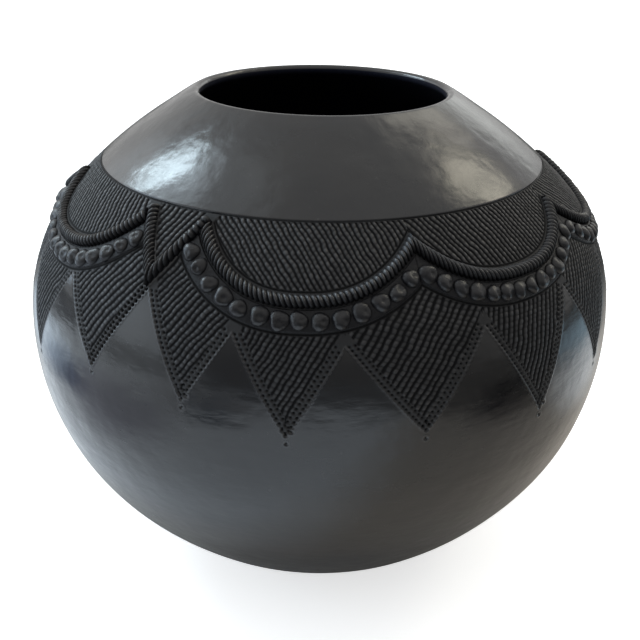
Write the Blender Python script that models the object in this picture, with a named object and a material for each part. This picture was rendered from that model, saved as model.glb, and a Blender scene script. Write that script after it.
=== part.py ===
"""A coil-built black clay pot, hung with swags of twisted cord and rows of clay pellets.

Metres, +Z up. The origin is the middle of the flat resting face. Azimuth 0 is the front (-Y), and
azimuth grows towards +X. A place on the wall is an azimuth and a length: the distance along the
outer outline, measured down from the crest of the lip. A height is measured out from the wall.
"""

import math

import bmesh
import bpy
from mathutils import Matrix, Vector

MM = 0.001

# The outer outline, from the crest of the lip to the edge of the resting face, is a chain of
# tangent arcs: each one's radius, and the direction it ends in (0 outwards, 90 down, 180 inwards).
LIP_ROUNDING = 2.6 * MM
CREST_RADIUS = 62.7 * MM
OUTLINE_ARCS = (
    (LIP_ROUNDING, 28.0),  # outer side of the lip
    (256.0 * MM, 44.0),  # shoulder
    (90.0 * MM, 80.0),  # the bend that the cords hang on
    (131.0 * MM, 124.0),  # belly
    (175.0 * MM, 138.5),  # lower wall
    (130.0 * MM, 165.0),  # underside
    (14.0 * MM, 180.0),  # corner of the resting face
)

# The wall is thinnest at the lip and grows evenly thicker down to the floor.
WALL_AT_LIP = 2 * LIP_ROUNDING
WALL_AT_FLOOR = 8.0 * MM

# The mouth sits a little off the axis and tips towards +X and the front, as on a pot shaped by hand.
MOUTH_SHIFT_X = 1.8 * MM
MOUTH_SHIFT_Y = -0.6 * MM
MOUTH_TILT_X = math.radians(0.87)
MOUTH_TILT_Y = math.radians(-0.6)

# Lengths at which one building stage ends and the next begins. Each joint is a scarf: its inner
# edge lies lower than its outer edge, so that the upper stage sits inside the lower one.
RIM_END = 14.0 * MM
SHOULDER_END = 56.0 * MM
BAND_END = 160.0 * MM
LOWER_WALL_END = 238.0 * MM
SCARF_DROP = 5.0 * MM
JOINT_SLIP = 0.5 * MM
LAY_GAP = 0.3 * MM

WALL_SEGMENTS = 56
OUTLINE_STEP = 13.0 * MM
LIP_STEPS = 6

# Eight swags hang in two groups of four, with a V-shaped gusset between the groups. They hang from
# places at the same lengths, but not all to the same depth.
SWAG_SPAN = math.radians(41.25)
GUSSET_SPAN = math.radians(15.0)
FIRST_CUSP = math.radians(-24.0)
SWAG_LOWS = (90.0 * MM, 87.6 * MM, 88.6 * MM, 86.8 * MM)
SWAGS_IN_GROUP = len(SWAG_LOWS)
CUSP_LENGTH = 67.5 * MM
CUSP_POWER = 2.4
GUSSET_LENGTH = 63.3 * MM
GUSSET_POWER = 2.5

CORD_WIDTH = 5.6 * MM
CORD_HEIGHT = 2.5 * MM
CORD_SECTION_STEPS = 6
CORD_STATIONS = 17

STRIP_TOP = 3.2 * MM
STRIP_BOTTOM = 12.2 * MM
STRIP_HEIGHT = 0.7 * MM
STRIP_EDGE = 0.4 * MM
STRIP_STATIONS = 15

PELLETS_IN_SWAG = 14
PELLET_DROP = 7.8 * MM
PELLET_RADIUS = 3.3 * MM
PELLET_HEIGHT = 1.9 * MM
PELLET_SINK = 0.12  # how far a pellet's flat back lies below its widest ring, in pellet heights
CUSP_ROOM = 5.0 * MM
GUSSET_ROOM = 4.2 * MM
PELLET_SIDES = 8
PELLET_RINGS = 4

# A gusset's two cords run from just under the shoulder down to a shared point.
GUSSET_TOP = 59.0 * MM
GUSSET_APEX = 88.0 * MM
GUSSET_TOP_OFFSET = math.radians(7.3)
GUSSET_CORD_WIDTH = 5.0 * MM
GUSSET_CORD_HEIGHT = 2.3 * MM
GUSSET_STATIONS = 8

BURNISHED = ((0.030, 0.031, 0.034), 0.32)
TOOLED = ((0.020, 0.020, 0.022), 0.55)


class Outline:
    """The outer outline as a chain of tangent arcs in the (radius, z) half plane."""

    def __init__(self):
        self.arcs = []
        radius, z, angle, length = CREST_RADIUS, 0.0, 0.0, 0.0
        for bend, end_degrees in OUTLINE_ARCS:
            centre = (radius - bend * math.sin(angle), z - bend * math.cos(angle))
            self.arcs.append((length, bend, angle, centre))
            end = math.radians(end_degrees)
            length += bend * (end - angle)
            angle = end
            radius = centre[0] + bend * math.sin(angle)
            z = centre[1] + bend * math.cos(angle)
        self.length = length
        self.height = -z
        self.belly_height = self.height + self.point(self.belly_length())[1]

    def point(self, length):
        """Radius, z below the crest and direction angle at a length along the outline."""
        start, bend, angle, centre = self.arcs[0]
        for arc in self.arcs:
            if arc[0] <= length:
                start, bend, angle, centre = arc
        angle += (length - start) / bend
        return centre[0] + bend * math.sin(angle), centre[1] + bend * math.cos(angle), angle

    def belly_length(self):
        """The length at which the outline runs straight down."""
        for start, bend, angle, _ in self.arcs:
            if angle + (self.length - start) / bend > math.pi / 2 and angle < math.pi / 2:
                found = start + bend * (math.pi / 2 - angle)
        return found

    def radius(self, length):
        """The outer radius at a length."""
        return self.point(length)[0]

    def section(self, length, height):
        """Radius and z above the resting face of a point standing off the outline."""
        radius, z, angle = self.point(length)
        return radius + height * math.sin(angle), self.height + z + height * math.cos(angle)


OUTLINE = Outline()


def lean(point):
    """Shifts and tips the part of the pot above the belly, smoothly from none to full at the lip."""
    rise = (point.z - OUTLINE.belly_height) / (OUTLINE.height - OUTLINE.belly_height)
    rise = min(max(rise, 0.0), 1.0)
    share = rise * rise * (3.0 - 2.0 * rise)
    drop = point.x * math.tan(MOUTH_TILT_X) + point.y * math.tan(MOUTH_TILT_Y)
    return point + share * Vector((MOUTH_SHIFT_X, MOUTH_SHIFT_Y, -drop))


def on_wall(azimuth, length, height):
    """A point standing off the outer wall."""
    radius, z = OUTLINE.section(length, height)
    return lean(Vector((radius * math.sin(azimuth), -radius * math.cos(azimuth), z)))


def wall_thickness(length):
    """The wall's thickness at a length."""
    return WALL_AT_LIP + (WALL_AT_FLOOR - WALL_AT_LIP) * length / OUTLINE.length


def spread(start, stop, step):
    """Evenly spaced values from start to stop, no further apart than step."""
    count = max(1, math.ceil((stop - start) / step))
    return [start + (stop - start) * i / count for i in range(count + 1)]


# ---------------------------------------------------------------------------------------------
# Scene helpers


def clear_scene():
    """Removes every object of the open scene."""
    for item in list(bpy.data.objects):
        bpy.data.objects.remove(item, do_unlink=True)


def clay(name, finish):
    """A Principled material for one piece."""
    colour, roughness = finish
    material = bpy.data.materials.new(name)
    material.use_nodes = True
    shader = material.node_tree.nodes["Principled BSDF"]
    shader.inputs["Base Color"].default_value = (*colour, 1.0)
    shader.inputs["Roughness"].default_value = roughness
    shader.inputs["Metallic"].default_value = 0.0
    material.diffuse_color = (*colour, 1.0)
    return material


def add_piece(name, bm, parent, finish):
    """Makes a named object from a bmesh, with faces out and its own material."""
    bmesh.ops.recalc_face_normals(bm, faces=bm.faces)
    mesh = bpy.data.meshes.new(name)
    bm.to_mesh(mesh)
    bm.free()
    mesh.shade_smooth()
    mesh.set_sharp_from_angle(angle=math.radians(40.0))
    mesh.materials.append(clay(name + "_clay", finish))
    piece = bpy.data.objects.new(name, mesh)
    bpy.context.scene.collection.objects.link(piece)
    piece.parent = parent
    return piece


def swept(rings):
    """A closed bmesh through a row of equal rings of points, capped at both ends."""
    bm = bmesh.new()
    rows = [[bm.verts.new(point) for point in ring] for ring in rings]
    for row, following in zip(rows, rows[1:]):
        for i in range(len(row)):
            j = (i + 1) % len(row)
            bm.faces.new((row[i], row[j], following[j], following[i]))
    bm.faces.new(rows[0])
    bm.faces.new(rows[-1])
    return bm


# ---------------------------------------------------------------------------------------------
# The vessel


def turned(profile, closed):
    """Spins a profile of (radius, z) points about the axis.

    A closed profile makes a ring. An open one starts and ends on flat discs about the axis.
    """
    bm = bmesh.new()
    verts = [bm.verts.new((0.0, -radius, z)) for radius, z in profile]
    pairs = list(zip(verts, verts[1:]))
    if closed:
        pairs.append((verts[-1], verts[0]))
    edges = [bm.edges.new(pair) for pair in pairs]
    bmesh.ops.spin(
        bm,
        geom=verts + edges,
        cent=(0.0, 0.0, 0.0),
        axis=(0.0, 0.0, 1.0),
        angle=2.0 * math.pi,
        steps=WALL_SEGMENTS,
        use_merge=True,
    )
    bmesh.ops.holes_fill(bm, edges=bm.edges)
    for vert in bm.verts:
        vert.co = lean(vert.co)
    return bm


def outer_face(start, stop):
    """Profile points down the outer face."""
    return [OUTLINE.section(length, 0.0) for length in spread(start, stop, OUTLINE_STEP)]


def inner_face(start, stop):
    """Profile points down the inner face."""
    lengths = spread(start, stop, OUTLINE_STEP)
    return [OUTLINE.section(length, -wall_thickness(length)) for length in lengths]


def rim_coil(parent):
    """The last coil, with its rounded lip."""
    stop = RIM_END - JOINT_SLIP / 2
    lip_end = LIP_ROUNDING * math.radians(OUTLINE_ARCS[0][1])
    first = math.radians(OUTLINE_ARCS[0][1])
    centre_z = OUTLINE.height - LIP_ROUNDING
    lip = []
    for i in range(LIP_STEPS + 1):
        angle = first - math.pi * i / LIP_STEPS
        lip.append(
            (CREST_RADIUS + LIP_ROUNDING * math.sin(angle), centre_z + LIP_ROUNDING * math.cos(angle))
        )
    profile = outer_face(lip_end, stop)[:0:-1] + lip + inner_face(lip_end, stop + SCARF_DROP)[1:]
    add_piece("rim_coil", turned(profile, True), parent, BURNISHED)


def wall_stage(name, start, stop, parent, finish):
    """One ring of wall between two scarf joints."""
    start += JOINT_SLIP / 2
    stop -= JOINT_SLIP / 2
    profile = outer_face(start, stop) + inner_face(start + SCARF_DROP, stop + SCARF_DROP)[::-1]
    add_piece(name, turned(profile, True), parent, finish)


def base_bowl(parent):
    """The bowl at the bottom, with a flat floor inside and a flat resting face below."""
    start = LOWER_WALL_END + JOINT_SLIP / 2
    outer = outer_face(start, OUTLINE.length)
    inner = inner_face(start + SCARF_DROP, OUTLINE.length)
    add_piece("base_bowl", turned(inner[::-1] + outer, False), parent, BURNISHED)


# ---------------------------------------------------------------------------------------------
# Swags


def gusset_offset(length):
    """Azimuth from a gusset's middle to the centre line of either of its cords."""
    return GUSSET_TOP_OFFSET * (GUSSET_APEX - length) / (GUSSET_APEX - GUSSET_TOP)


def gusset_slant():
    """The cosine of the angle between a gusset cord and straight down the wall."""
    middle = (GUSSET_TOP + GUSSET_APEX) / 2
    across = OUTLINE.radius(middle) * GUSSET_TOP_OFFSET
    down = GUSSET_APEX - GUSSET_TOP
    return down / math.hypot(across, down)


class Swag:
    """One hanging swag: its middle azimuth, depth, and which of its sides end on a gusset."""

    def __init__(self, number, middle, low, gusset_sides):
        self.number = number
        self.middle = middle
        self.low = low
        self.gusset_sides = gusset_sides
        self.ends = {}

    def place(self, u, drop):
        """Azimuth from the middle, and length, of a point below the cord's centre line.

        u runs from -1 at the left cusp to 1 at the right one. The drop is square to the cord.
        """
        at_gusset = (1 if u > 0 else -1) in self.gusset_sides
        rise = self.low - (GUSSET_LENGTH if at_gusset else CUSP_LENGTH)
        power = GUSSET_POWER if at_gusset else CUSP_POWER
        length = self.low - rise * abs(u) ** power
        slope = -math.copysign(rise * power * abs(u) ** (power - 1.0), u)
        across = OUTLINE.radius(length) * SWAG_SPAN / 2
        run = math.hypot(across, slope)
        length_below = length + drop * across / run
        radius = OUTLINE.radius((length + length_below) / 2)
        return u * SWAG_SPAN / 2 - drop * slope / run / radius, length_below

    def limit(self, side, length):
        """The furthest azimuth from the middle that a piece of this swag may reach."""
        radius = OUTLINE.radius(length)
        if side not in self.gusset_sides:
            return SWAG_SPAN / 2 - LAY_GAP / 2 / radius
        clearance = (GUSSET_CORD_WIDTH / 2 + LAY_GAP) / gusset_slant() / radius
        return SWAG_SPAN / 2 + GUSSET_SPAN / 2 - gusset_offset(length) - clearance

    def end(self, side, drop):
        """The u at which the line at this drop reaches the limit on one side, by bisection."""
        key = (side, round(drop, 7))
        if key not in self.ends:
            low, high = 0.4, 1.4
            for _ in range(40):
                middle = (low + high) / 2
                azimuth, length = self.place(side * middle, drop)
                if abs(azimuth) < self.limit(side, length):
                    low = middle
                else:
                    high = middle
            self.ends[key] = low
        return self.ends[key]

    def point(self, t, drop, height):
        """A point on or off the wall, with t from -1 to 1 between the swag's two limits."""
        side = 1 if t > 0 else -1
        azimuth, length = self.place(t * self.end(side, drop), drop)
        return on_wall(self.middle + azimuth, length, height)

    def rings(self, section, stations):
        """The rings of points that sweep a (drop, height) section along the swag."""
        steps = [2.0 * i / (stations - 1) - 1.0 for i in range(stations)]
        return [[self.point(t, drop, height) for drop, height in section] for t in steps]


def half_round(width, height, middle=0.0):
    """A (drop, height) section with a flat back on the wall and a rounded front."""
    section = []
    for i in range(CORD_SECTION_STEPS + 1):
        angle = math.pi * i / CORD_SECTION_STEPS
        section.append(
            (middle - width / 2 * math.cos(angle), LAY_GAP + height * math.sin(angle))
        )
    return section


def swag_cord(swag, parent):
    """The rolled cord of a swag, laid flat on the wall."""
    rings = swag.rings(half_round(CORD_WIDTH, CORD_HEIGHT), CORD_STATIONS)
    add_piece(f"swag_cord_{swag.number}", swept(rings), parent, TOOLED)


def pellet_places(swag):
    """The t of each pellet's centre, evenly spaced along the strip."""
    samples = 400
    steps = [2.0 * i / samples - 1.0 for i in range(samples + 1)]
    points = [swag.point(t, PELLET_DROP, 0.0) for t in steps]
    run = [0.0]
    for point, following in zip(points, points[1:]):
        run.append(run[-1] + (following - point).length)
    room = {side: GUSSET_ROOM if side in swag.gusset_sides else CUSP_ROOM for side in (-1, 1)}
    pitch = (run[-1] - room[-1] - room[1]) / (PELLETS_IN_SWAG - 1)
    places = []
    for i in range(PELLETS_IN_SWAG):
        wanted = room[-1] + i * pitch
        nearest = min(range(samples + 1), key=lambda k: abs(run[k] - wanted))
        places.append(steps[nearest])
    return places


def pellet_frame(swag, t):
    """The placing matrix of a pellet: flattened against the wall, half sunk in its strip."""
    centre = swag.point(t, PELLET_DROP, LAY_GAP + STRIP_HEIGHT / 2)
    outward = (swag.point(t, PELLET_DROP, 10 * MM) - swag.point(t, PELLET_DROP, 0.0)).normalized()
    down = swag.point(t, PELLET_DROP + MM, 0.0) - swag.point(t, PELLET_DROP - MM, 0.0)
    across = down.cross(outward).normalized()
    down = outward.cross(across)
    turn = Matrix((across, down, outward)).transposed().to_4x4()
    flatten = Matrix.Diagonal((PELLET_RADIUS, PELLET_RADIUS, PELLET_HEIGHT, 1.0))
    return Matrix.Translation(centre) @ turn @ flatten


def pellet_strip(swag, parent):
    """A thin strip of clay under the cord, with its row of pellets pressed on."""
    section = [
        (STRIP_TOP, LAY_GAP),
        (STRIP_TOP + STRIP_EDGE, LAY_GAP + STRIP_HEIGHT),
        (STRIP_BOTTOM - STRIP_EDGE, LAY_GAP + STRIP_HEIGHT),
        (STRIP_BOTTOM, LAY_GAP),
        ((STRIP_TOP + STRIP_BOTTOM) / 2, LAY_GAP),
    ]
    name = f"pellet_strip_{swag.number}"
    strip = add_piece(name, swept(swag.rings(section, STRIP_STATIONS)), parent, TOOLED)

    bm = bmesh.new()
    for t in pellet_places(swag):
        ball = bmesh.ops.create_uvsphere(
            bm, u_segments=PELLET_SIDES, v_segments=PELLET_RINGS, radius=1.0
        )
        frame = pellet_frame(swag, t)
        for vert in ball["verts"]:
            vert.co.z = max(vert.co.z, -PELLET_SINK)
            vert.co = frame @ vert.co
    pellets = add_piece(f"pellets_to_join_{swag.number}", bm, parent, TOOLED)
    pellets.hide_render = True
    pellets.display_type = "WIRE"

    union = strip.modifiers.new("press pellets on", "BOOLEAN")
    union.operation = "UNION"
    union.object = pellets


# ---------------------------------------------------------------------------------------------
# Gussets


def gusset_cord(name, middle, side, parent):
    """One of the two cords of a gusset, mitred against the other at the point of the V."""

    def place(v, drop):
        length = GUSSET_TOP + v * (GUSSET_APEX - GUSSET_TOP)
        radius = OUTLINE.radius(length)
        slant = gusset_slant()
        tilt = math.sqrt(1.0 - slant * slant)
        return gusset_offset(length) + drop * slant / radius, length + drop * tilt

    def end(drop):
        low, high = 0.5, 1.5
        for _ in range(40):
            v = (low + high) / 2
            azimuth, length = place(v, drop)
            if azimuth > LAY_GAP / 2 / OUTLINE.radius(length):
                low = v
            else:
                high = v
        return low

    rings = []
    section = half_round(GUSSET_CORD_WIDTH, GUSSET_CORD_HEIGHT)
    for i in range(GUSSET_STATIONS):
        ring = []
        for drop, height in section:
            azimuth, length = place(end(drop) * i / (GUSSET_STATIONS - 1), drop)
            ring.append(on_wall(middle + side * azimuth, length, height))
        rings.append(ring)
    add_piece(name, swept(rings), parent, TOOLED)


def decorate(parent):
    """Both groups of swags and the gusset before each group."""
    group_span = SWAGS_IN_GROUP * SWAG_SPAN + GUSSET_SPAN
    for group, place in enumerate(("front", "back")):
        start = FIRST_CUSP + group * group_span
        for side, hand in ((-1, "left"), (1, "right")):
            gusset_cord(f"gusset_cord_{place}_{hand}", start - GUSSET_SPAN / 2, side, parent)
        for i, low in enumerate(SWAG_LOWS):
            sides = set()
            if i == 0:
                sides.add(-1)
            if i == SWAGS_IN_GROUP - 1:
                sides.add(1)
            middle = start + (i + 0.5) * SWAG_SPAN
            swag = Swag(group * SWAGS_IN_GROUP + i + 1, middle, low, sides)
            swag_cord(swag, parent)
            pellet_strip(swag, parent)


def build():
    """Builds the whole pot."""
    clear_scene()
    pot = bpy.data.objects.new("pot", None)
    bpy.context.scene.collection.objects.link(pot)
    base_bowl(pot)
    wall_stage("lower_wall", BAND_END, LOWER_WALL_END, pot, BURNISHED)
    wall_stage("band_wall", SHOULDER_END, BAND_END, pot, TOOLED)
    wall_stage("shoulder_wall", RIM_END, SHOULDER_END, pot, BURNISHED)
    rim_coil(pot)
    decorate(pot)


build()
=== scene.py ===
"""The visible surface of a black clay pot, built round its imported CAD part.

Metres, +Z up, in the part's own frame. Azimuth 0 is the front (-Y), and azimuth grows towards +X.
A place on the wall is an azimuth and a length: the distance along the outer outline, measured
down from the crest of the lip. A height is measured out from the wall.
"""

import math

import bpy
import numpy as np
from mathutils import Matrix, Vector


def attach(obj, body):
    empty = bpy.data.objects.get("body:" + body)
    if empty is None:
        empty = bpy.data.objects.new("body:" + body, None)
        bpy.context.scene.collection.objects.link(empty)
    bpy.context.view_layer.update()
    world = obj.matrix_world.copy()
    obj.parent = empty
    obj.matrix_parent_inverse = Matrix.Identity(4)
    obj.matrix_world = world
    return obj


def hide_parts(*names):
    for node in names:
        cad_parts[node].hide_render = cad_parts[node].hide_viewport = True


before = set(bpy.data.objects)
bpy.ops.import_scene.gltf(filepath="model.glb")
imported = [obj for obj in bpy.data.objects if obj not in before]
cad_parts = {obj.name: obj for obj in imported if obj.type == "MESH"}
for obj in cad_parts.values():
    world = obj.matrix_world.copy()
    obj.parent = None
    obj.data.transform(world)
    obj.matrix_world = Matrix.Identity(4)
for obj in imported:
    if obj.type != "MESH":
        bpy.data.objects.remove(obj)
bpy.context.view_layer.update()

MM = 0.001
FULL_TURN = 2.0 * math.pi

# The outer outline is a chain of tangent arcs: radius, and the direction it ends in
# (0 outwards, 90 down, 180 inwards).
LIP_ROUNDING = 2.6 * MM
CREST_RADIUS = 62.7 * MM
OUTLINE_ARCS = (
    (LIP_ROUNDING, 28.0),
    (256.0 * MM, 44.0),
    (90.0 * MM, 80.0),
    (131.0 * MM, 124.0),
    (175.0 * MM, 138.5),
    (130.0 * MM, 165.0),
    (14.0 * MM, 180.0),
)
WALL_AT_LIP = 2 * LIP_ROUNDING
WALL_AT_FLOOR = 8.0 * MM
LIP_TURN = 140.0
LIP_SOOTY_ROWS = 7
FACE_RINGS = (0.93, 0.8, 0.62, 0.42, 0.22, 0.08)
MOUTH_SHIFT = (1.8 * MM, -0.6 * MM)
MOUTH_TILT = (math.radians(0.87), math.radians(-0.6))
BROAD_UNEVENNESS = 0.22 * MM
FINE_UNEVENNESS = 0.11 * MM
INSIDE_UNEVENNESS = 0.25 * MM

# Lengths at which one building stage ends and the next begins.
RIM_END = 14.0 * MM
SHOULDER_END = 56.0 * MM
BAND_END = 160.0 * MM
LOWER_WALL_END = 238.0 * MM
SCARF_DROP = 5.0 * MM

# Swags, in two groups of four with a V-shaped gusset before each group.
SWAG_SPAN = math.radians(41.25)
GUSSET_SPAN = math.radians(15.0)
FIRST_CUSP = math.radians(-24.0)
GUSSET_MIDDLE = FIRST_CUSP - GUSSET_SPAN / 2
SWAG_LOWS = (90.0 * MM, 87.6 * MM, 88.6 * MM, 86.8 * MM)
SWAGS_IN_GROUP = len(SWAG_LOWS)
CUSP_LENGTH = 67.5 * MM
CUSP_POWER = 2.4
GUSSET_LENGTH = 63.3 * MM
GUSSET_POWER = 2.5
LAY_GAP = 0.1 * MM

CORD_SIZE = (5.7 * MM, 3.0 * MM)
CORD_LAY = 6.4 * MM
CORD_STRANDS = 3
CORD_HALF_WRAP = 108.0
CORD_SIDES = 34
CORD_STEP = 0.33 * MM
STRAND_RADIUS = 0.62

STRIP_TOP = 3.2 * MM
STRIP_BOTTOM = 12.2 * MM
STRIP_HEIGHT = 0.7 * MM
STRIP_ROUNDING = 0.55 * MM
EMBEDDING = 0.6 * MM
PELLETS_IN_SWAG = 14
PELLET_DROP = 7.8 * MM
PELLET_RADIUS = 3.85 * MM
PELLET_HEIGHT = 2.5 * MM
PELLET_RINGS = 13
PELLET_SIDES = 26
PRESS_RADIUS = 1.3 * MM
CUSP_ROOM = 5.0 * MM
GUSSET_ROOM = 4.2 * MM

GUSSET_TOP = 59.0 * MM
GUSSET_APEX = 88.0 * MM
GUSSET_TOP_OFFSET = math.radians(7.3)
GUSSET_CORD_SIZE = (5.0 * MM, 2.8 * MM)
GUSSET_CORD_HALF = GUSSET_CORD_SIZE[0] / 2
GUSSET_CORDS = ((-1, "left", 2.3 * MM), (1, "right", -2.7 * MM))

# Incised lines, and the fields of pressed grains that they border.
UPPER_LINE_DROP = -3.7 * MM
LOWER_LINE_DROP = 12.9 * MM
LINE_DEPTH = 0.6 * MM
LINE_WIDTH = 0.36 * MM
LINE_MARGIN = 0.35 * MM
LOWER_LINE_MARGIN = 0.45 * MM
CORD_MARGIN = 0.1 * MM
GRAIN_PITCH = 2.25 * MM
TOOLING_DEPTH = 0.62 * MM
ROW_WANDER = 0.45 * MM
ROW_JITTER = 0.30 * MM
GRAIN_WANDER = 0.6 * MM
EDGE_LEVEL = 0.62

# The length at the centre of each kind of field, and its rows: their direction, in degrees
# anticlockwise from level, and their pitch in millimetres.
SWAG_CENTRE = 72 * MM
GUSSET_CENTRE = 68 * MM
PENDANT_CENTRE = 112 * MM
SWAG_ROWS = ((121.0, 2.07), (110.0, 2.27), (118.0, 2.3), (114.0, 2.58))
GUSSET_ROWS = (67.0, 2.7)

# In degrees from the gusset and millimetres: the pendants' zigzag lower edge over half a turn,
# how far a pit lies below each tip, and the rows of the pendant that hangs to each tip.
VALLEYS = (
    (0.7, 92.7), (17.3, 103.8), (35.3, 107.2), (59.0, 105.9), (79.7, 101.4),
    (100.9, 104.0), (120.8, 105.5), (140.8, 105.0), (160.3, 98.6),
)
TIPS = (
    (9.9, 134.9), (26.5, 145.2), (47.9, 146.2), (70.3, 151.7), (90.0, 147.8),
    (110.4, 148.5), (130.9, 149.0), (150.5, 144.1), (171.2, 132.8),
)
TIP_PIT_DROP = 2.4
PENDANT_ROWS = (
    (53.0, 2.38), (59.0, 2.27), (54.0, 2.68), (70.0, 2.65),
    (60.0, 2.5), (56.0, 2.4), (64.0, 2.6), (57.0, 2.5), (56.0, 2.7),
)
EDGE_ZONE = 4.3 * MM
PIT_ROWS = (0.9 * MM, 3.2 * MM)
PIT_PITCH = 2.2 * MM
PIT_DEPTH = 0.75 * MM
PIT_RADIUS = 0.5 * MM
PIT_RIM_RADIUS = 1.25 * MM
PIT_RIM_HEIGHT = 0.10 * MM
PIT_REACH = 2.2 * MM

BAND_COLUMNS = 2200
BAND_STEP = 0.4 * MM
WALL_COLUMNS = 440
WALL_STEP = 2.0 * MM


def ease(share):
    """A share from 0 to 1, with a smooth start and end."""
    share = np.clip(share, 0.0, 1.0)
    return share**3 * (share * (share * 6.0 - 15.0) + 10.0)


def scatter(first, second, seed):
    """A repeatable random share for each pair of whole numbers."""
    value = np.sin(first * 127.1 + second * 311.7 + seed * 74.7) * 43758.5453
    return value - np.floor(value)


class SoftNoise:
    """Smooth random values from -1 to 1 on a grid that closes round the pot."""

    def __init__(self, seed, around, down):
        self.values = np.random.default_rng(seed).uniform(-1.0, 1.0, (down, around))

    def __call__(self, azimuth, level):
        """The value at an azimuth, and at a level from 0 (top row) to 1 (bottom row)."""
        down, around = self.values.shape
        x = np.mod(azimuth / FULL_TURN, 1.0) * around
        y = np.clip(level, 0.0, 1.0) * (down - 1)
        column = np.floor(x).astype(int)
        row = np.minimum(np.floor(y).astype(int), down - 2)
        across, along = ease(x - column), ease(y - row)
        left, right = column % around, (column + 1) % around
        upper = self.values[row, left] * (1 - across) + self.values[row, right] * across
        lower = self.values[row + 1, left] * (1 - across) + self.values[row + 1, right] * across
        return upper * (1 - along) + lower * along


class Outline:
    """The outer outline as a chain of tangent arcs in the (radius, z) half plane."""

    def __init__(self):
        radius, z, angle, length = CREST_RADIUS, 0.0, 0.0, 0.0
        arcs = []
        for bend, end_degrees in OUTLINE_ARCS:
            centre = (radius - bend * math.sin(angle), z - bend * math.cos(angle))
            arcs.append((length, bend, angle, *centre))
            end = math.radians(end_degrees)
            length += bend * (end - angle)
            angle = end
            radius = centre[0] + bend * math.sin(angle)
            z = centre[1] + bend * math.cos(angle)
        self.starts, self.bends, self.angles, self.centre_r, self.centre_z = np.array(arcs).T
        self.length = length
        self.height = -z
        self.resting_radius = radius
        past = np.flatnonzero(self.angles < math.pi / 2)[-1]
        self.belly_height = self.height + self.centre_z[past]

    def place(self, length):
        """Radius, z above the resting face and direction angle at each length."""
        length = np.asarray(length, float)
        arc = np.clip(np.searchsorted(self.starts, length, side="right") - 1, 0, None)
        angle = self.angles[arc] + (length - self.starts[arc]) / self.bends[arc]
        radius = self.centre_r[arc] + self.bends[arc] * np.sin(angle)
        z = self.height + self.centre_z[arc] + self.bends[arc] * np.cos(angle)
        return radius, z, angle

    def radius(self, length):
        """The outer radius at each length."""
        return self.place(length)[0]


OUTLINE = Outline()
BROAD_WAVES = SoftNoise(11, 9, 7)
HAND_MARKS = SoftNoise(12, 26, 14)
INSIDE_MARKS = SoftNoise(13, 34, 20)


def fade_at_ends(length, start):
    """A share that is 0 down to a start below the lip, and falls to 0 at the resting face."""
    return ease((length - start) / (20 * MM)) * ease((OUTLINE.length - length) / (30 * MM))


def unevenness(azimuth, length):
    """How far the hand-formed wall stands off the true outline, always inwards."""
    level = length / OUTLINE.length
    broad = BROAD_UNEVENNESS * (BROAD_WAVES(azimuth, level) - 1.0)
    marks = FINE_UNEVENNESS * (HAND_MARKS(azimuth, level) - 1.0)
    return (broad + marks) * fade_at_ends(length, 2 * MM)


def lean(x, y, z):
    """Shifts and tips the pot above its belly, from not at all to fully at the lip."""
    rise = (z - OUTLINE.belly_height) / (OUTLINE.height - OUTLINE.belly_height)
    rise = np.clip(rise, 0.0, 1.0)
    share = rise * rise * (3.0 - 2.0 * rise)
    drop = x * math.tan(MOUTH_TILT[0]) + y * math.tan(MOUTH_TILT[1])
    x, y = x + MOUTH_SHIFT[0] * share, y + MOUTH_SHIFT[1] * share
    return np.stack((x, y, z - drop * share), axis=-1)


def on_wall(azimuth, length, height):
    """Points standing off the outer wall, with x, y and z on the last axis."""
    azimuth, length, height = np.broadcast_arrays(azimuth, length, height)
    radius, z, angle = OUTLINE.place(length)
    height = height + unevenness(azimuth, length)
    radius = radius + height * np.sin(angle)
    z = z + height * np.cos(angle)
    return lean(radius * np.sin(azimuth), -radius * np.cos(azimuth), z)


def wall_thickness(length):
    """The wall's thickness at a length."""
    return WALL_AT_LIP + (WALL_AT_FLOOR - WALL_AT_LIP) * length / OUTLINE.length


def spread(start, stop, step):
    """Evenly spaced values from start to stop, no further apart than step."""
    return np.linspace(start, stop, max(1, math.ceil((stop - start) / step)) + 1)


# ---- Curves of the decoration


def swag_place(u, drop, low, gusset_sides):
    """Azimuth from a swag's middle, and length, of points below its cord's centre line.

    u runs from -1 at the left cusp to 1 at the right one. The drop is square to the cord.
    """
    at_gusset = np.where(u > 0, 1 in gusset_sides, -1 in gusset_sides)
    rise = low - np.where(at_gusset, GUSSET_LENGTH, CUSP_LENGTH)
    power = np.where(at_gusset, GUSSET_POWER, CUSP_POWER)
    size = np.abs(u)
    length = low - rise * size**power
    slope = -np.sign(u) * rise * power * size ** (power - 1.0)
    across = OUTLINE.radius(length) * SWAG_SPAN / 2
    run = np.hypot(across, slope)
    length_below = length + drop * across / run
    radius = OUTLINE.radius((length + length_below) / 2)
    return u * SWAG_SPAN / 2 - drop * slope / run / radius, length_below


def gusset_offset(length):
    """Azimuth from a gusset's middle to the centre line of either of its cords."""
    return GUSSET_TOP_OFFSET * (GUSSET_APEX - length) / (GUSSET_APEX - GUSSET_TOP)


def gusset_slant():
    """The cosine of the angle between a gusset cord and straight down the wall."""
    middle = (GUSSET_TOP + GUSSET_APEX) / 2
    across = OUTLINE.radius(middle) * GUSSET_TOP_OFFSET
    down = GUSSET_APEX - GUSSET_TOP
    return down / math.hypot(across, down)


def bisect(inside, low, high):
    """Where inside turns from true to false between low and high, for each element."""
    for _ in range(40):
        middle = (low + high) / 2
        is_inside = inside(middle)
        low = np.where(is_inside, middle, low)
        high = np.where(is_inside, high, middle)
    return low


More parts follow.
